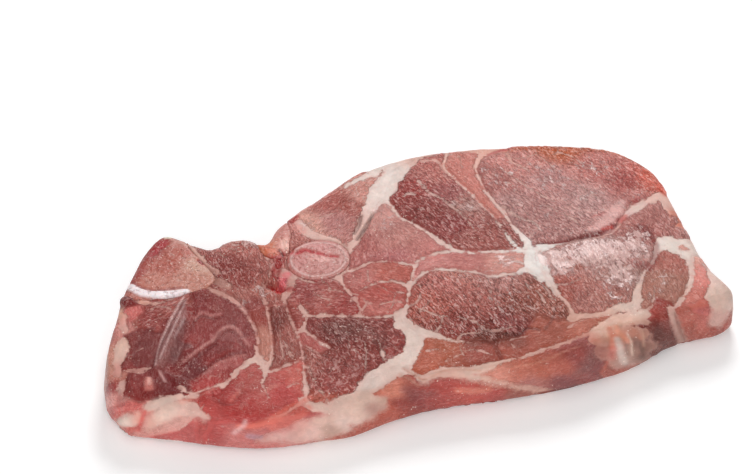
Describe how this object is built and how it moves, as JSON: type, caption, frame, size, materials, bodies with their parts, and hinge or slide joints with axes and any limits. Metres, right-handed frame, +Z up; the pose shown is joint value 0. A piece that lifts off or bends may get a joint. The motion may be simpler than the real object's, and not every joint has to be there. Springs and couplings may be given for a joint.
{
  "type": "raw pork chop",
  "caption": "Thick slice of raw pork neck with bones, marbled with fat, that lies flat.",
  "frame": {"origin": "middle of the chop's box, on its flat underside", "axes": "+X along the chop's length from the spine end to the loin end, +Y from the front edge to the back edge, +Z up through its thickness"},
  "size_m": [0.2187, 0.12, 0.0184],
  "materials": {
    "meat": "raw lean pork with cream fat seams, moist soft sheen",
    "bone": "sawn pinkish spongy bone, slightly moist"
  },
  "bodies": {
    "root": {"meat": "meat", "vertebra": "bone", "round_bone": "bone", "bone_chip": "bone"}
  },
  "joints": []
}
